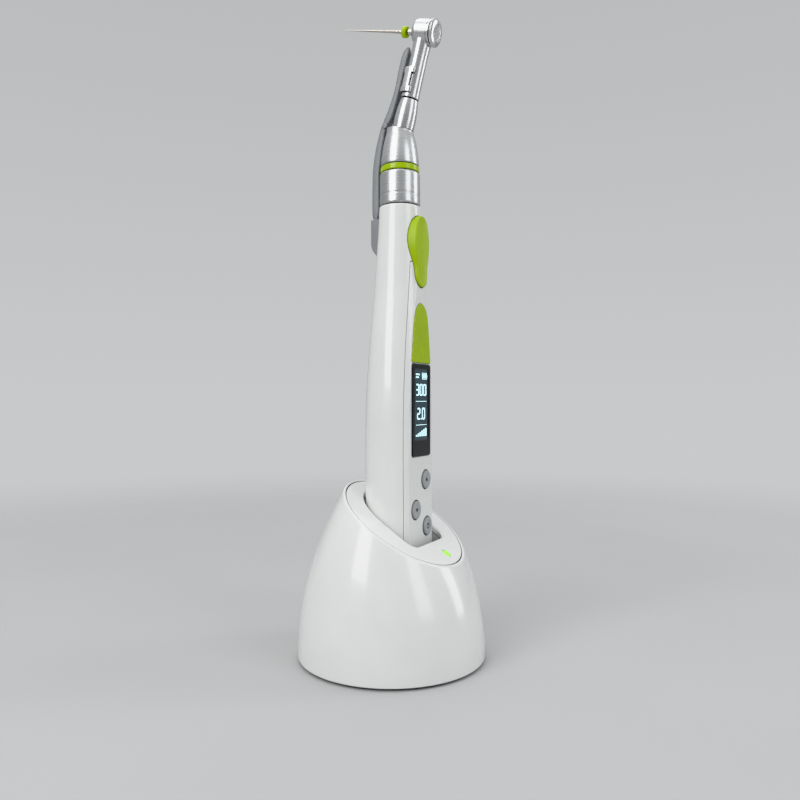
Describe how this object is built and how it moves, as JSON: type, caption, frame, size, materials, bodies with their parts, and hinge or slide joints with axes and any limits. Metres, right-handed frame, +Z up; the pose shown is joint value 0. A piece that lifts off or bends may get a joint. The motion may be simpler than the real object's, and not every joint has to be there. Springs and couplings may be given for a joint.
{
  "type": "endodontic motor",
  "caption": "Cordless root-canal motor handpiece with display, switch, contra-angle head and file, standing upright in a sloping round charging base.",
  "frame": {"origin": "centre of the base's footprint, on the table under its rubber feet", "axes": "+Z up along the upright handpiece; the display and keys face -Y; the file points to +Y"},
  "size_m": [0.075, 0.075, 0.2582],
  "materials": {
    "white_gloss": "moulded, high gloss",
    "white_satin": "moulded, satin",
    "lime_accent": "moulded, lime green",
    "soft_key": "silicone, satin",
    "dark_window": "polished, near black",
    "lcd": "display face",
    "steel_satin": "satin stainless",
    "steel_bright": "ground stainless",
    "file_alloy": "heat-treated alloy",
    "stop_silicone": "silicone",
    "arm_polymer": "satin polymer",
    "rubber_black": "matt",
    "black_plastic": "satin",
    "contact_brass": "gold-flashed",
    "circuit_board": "solder mask",
    "battery_wrap": "shrink sleeve",
    "ballast_iron": "as cast",
    "led_clear": "clear, tinted"
  },
  "bodies": {
    "base": {"base_shell": "white_gloss", "base_top_plate": "white_gloss", "cradle_cup": "white_satin", "base_bottom_plate": "white_satin", "rubber_foot_1": "rubber_black", "rubber_foot_2": "rubber_black", "rubber_foot_3": "rubber_black", "rubber_foot_4": "rubber_black", "base_screw_1": "steel_bright", "base_screw_2": "steel_bright", "base_screw_3": "steel_bright", "base_screw_4": "steel_bright", "base_ballast": "ballast_iron", "charger_board": "circuit_board", "power_jack": "black_plastic", "status_led_lens": "led_clear", "pin_spring_left": "steel_bright", "pin_spring_right": "steel_bright"},
    "pin_left": {"contact_pin_left": "contact_brass"},
    "pin_right": {"contact_pin_right": "contact_brass"},
    "handpiece": {"handle_shell": "white_gloss", "front_cover": "white_gloss", "panel_trim": "lime_accent", "display_window": "dark_window", "lcd_module": "lcd", "main_board": "circuit_board", "battery_cell": "battery_wrap", "end_cap": "white_satin", "charge_contact_left": "contact_brass", "charge_contact_right": "contact_brass", "drive_motor": "steel_bright", "reduction_gearbox": "ballast_iron", "shaft_bearing": "steel_bright", "coupling_nose": "steel_bright", "nose_o_ring": "rubber_black", "electrode_socket": "arm_polymer"},
    "switch": {"main_switch": "lime_accent"},
    "up_key": {"key_up": "soft_key"},
    "down_key": {"key_down": "soft_key"},
    "set_key": {"key_set": "soft_key"},
    "drive_shaft": {"drive_shaft": "steel_bright"},
    "contra_angle": {"coupling_sleeve": "steel_satin", "accent_ring": "lime_accent", "lower_cone": "steel_satin", "middle_neck": "steel_satin", "upper_neck_head": "steel_satin", "input_bearing": "steel_bright", "neck_bearing": "steel_bright", "spindle_bearing_upper": "steel_bright", "spindle_bearing_lower": "steel_bright", "electrode_arm": "arm_polymer", "arm_clip": "steel_satin"},
    "input_shaft": {"input_shaft": "steel_bright"},
    "neck_shaft": {"neck_shaft": "steel_bright"},
    "spindle": {"spindle": "steel_bright"},
    "file": {"endo_file": "file_alloy"},
    "stopper": {"file_stopper": "stop_silicone"},
    "push_cap": {"push_cap": "steel_satin"}
  },
  "joints": [
    {"name": "handpiece_lift", "type": "slide", "parent": "base", "child": "handpiece", "axis": [0, 0, 1], "range_m": [0, 0.075]},
    {"name": "pin_left_press", "type": "slide", "parent": "base", "child": "pin_left", "axis": [0, 0, -1], "range_m": [0, 0.0005], "stiffness_N_per_m": 400, "deforming": ["pin_spring_left"]},
    {"name": "pin_right_press", "type": "slide", "parent": "base", "child": "pin_right", "axis": [0, 0, -1], "range_m": [0, 0.0005], "stiffness_N_per_m": 400, "deforming": ["pin_spring_right"]},
    {"name": "switch_press", "type": "slide", "parent": "handpiece", "child": "switch", "axis": [0, 1, 0], "range_m": [0, 0.0005], "stiffness_N_per_m": 3000},
    {"name": "key_up_press", "type": "slide", "parent": "handpiece", "child": "up_key", "axis": [0, 1, 0], "range_m": [0, 0.0005], "stiffness_N_per_m": 2000},
    {"name": "key_down_press", "type": "slide", "parent": "handpiece", "child": "down_key", "axis": [0, 1, 0], "range_m": [0, 0.0005], "stiffness_N_per_m": 2000},
    {"name": "key_set_press", "type": "slide", "parent": "handpiece", "child": "set_key", "axis": [0, 1, 0], "range_m": [0, 0.0005], "stiffness_N_per_m": 2000},
    {"name": "motor_spin", "type": "hinge", "parent": "handpiece", "child": "drive_shaft", "pos_m": [0, -0.0038, 0.18], "axis": [0, 0, 1], "continuous": true},
    {"name": "contra_angle_pull", "type": "slide", "parent": "handpiece", "child": "contra_angle", "axis": [0, 0, 1], "range_m": [0, 0.022]},
    {"name": "input_spin", "type": "hinge", "parent": "contra_angle", "child": "input_shaft", "pos_m": [0, -0.0038, 0.2], "axis": [0, 0, 1], "continuous": true},
    {"name": "neck_spin", "type": "hinge", "parent": "contra_angle", "child": "neck_shaft", "pos_m": [0, -0.0038, 0.2065], "axis": [0, -0.2588, 0.9659], "continuous": true},
    {"name": "file_spin", "type": "hinge", "parent": "contra_angle", "child": "spindle", "pos_m": [0, -0.0149, 0.24794], "axis": [0, 0.9659, 0.2588], "continuous": true},
    {"name": "cap_press", "type": "slide", "parent": "contra_angle", "child": "push_cap", "axis": [0, 0.9659, 0.2588], "range_m": [0, 0.0004], "stiffness_N_per_m": 4000},
    {"name": "file_pull", "type": "slide", "parent": "spindle", "child": "file", "axis": [0, 0.9659, 0.2588], "range_m": [0, 0.0125]},
    {"name": "stopper_slide", "type": "slide", "parent": "file", "child": "stopper", "axis": [0, 0.9659, 0.2588], "range_m": [0, 0.012]}
  ],
  "couplings": [
    {"joint": "input_spin", "follows": "motor_spin", "ratio": 1},
    {"joint": "neck_spin", "follows": "motor_spin", "ratio": 1},
    {"joint": "file_spin", "follows": "motor_spin", "ratio": -0.38095}
  ]
}
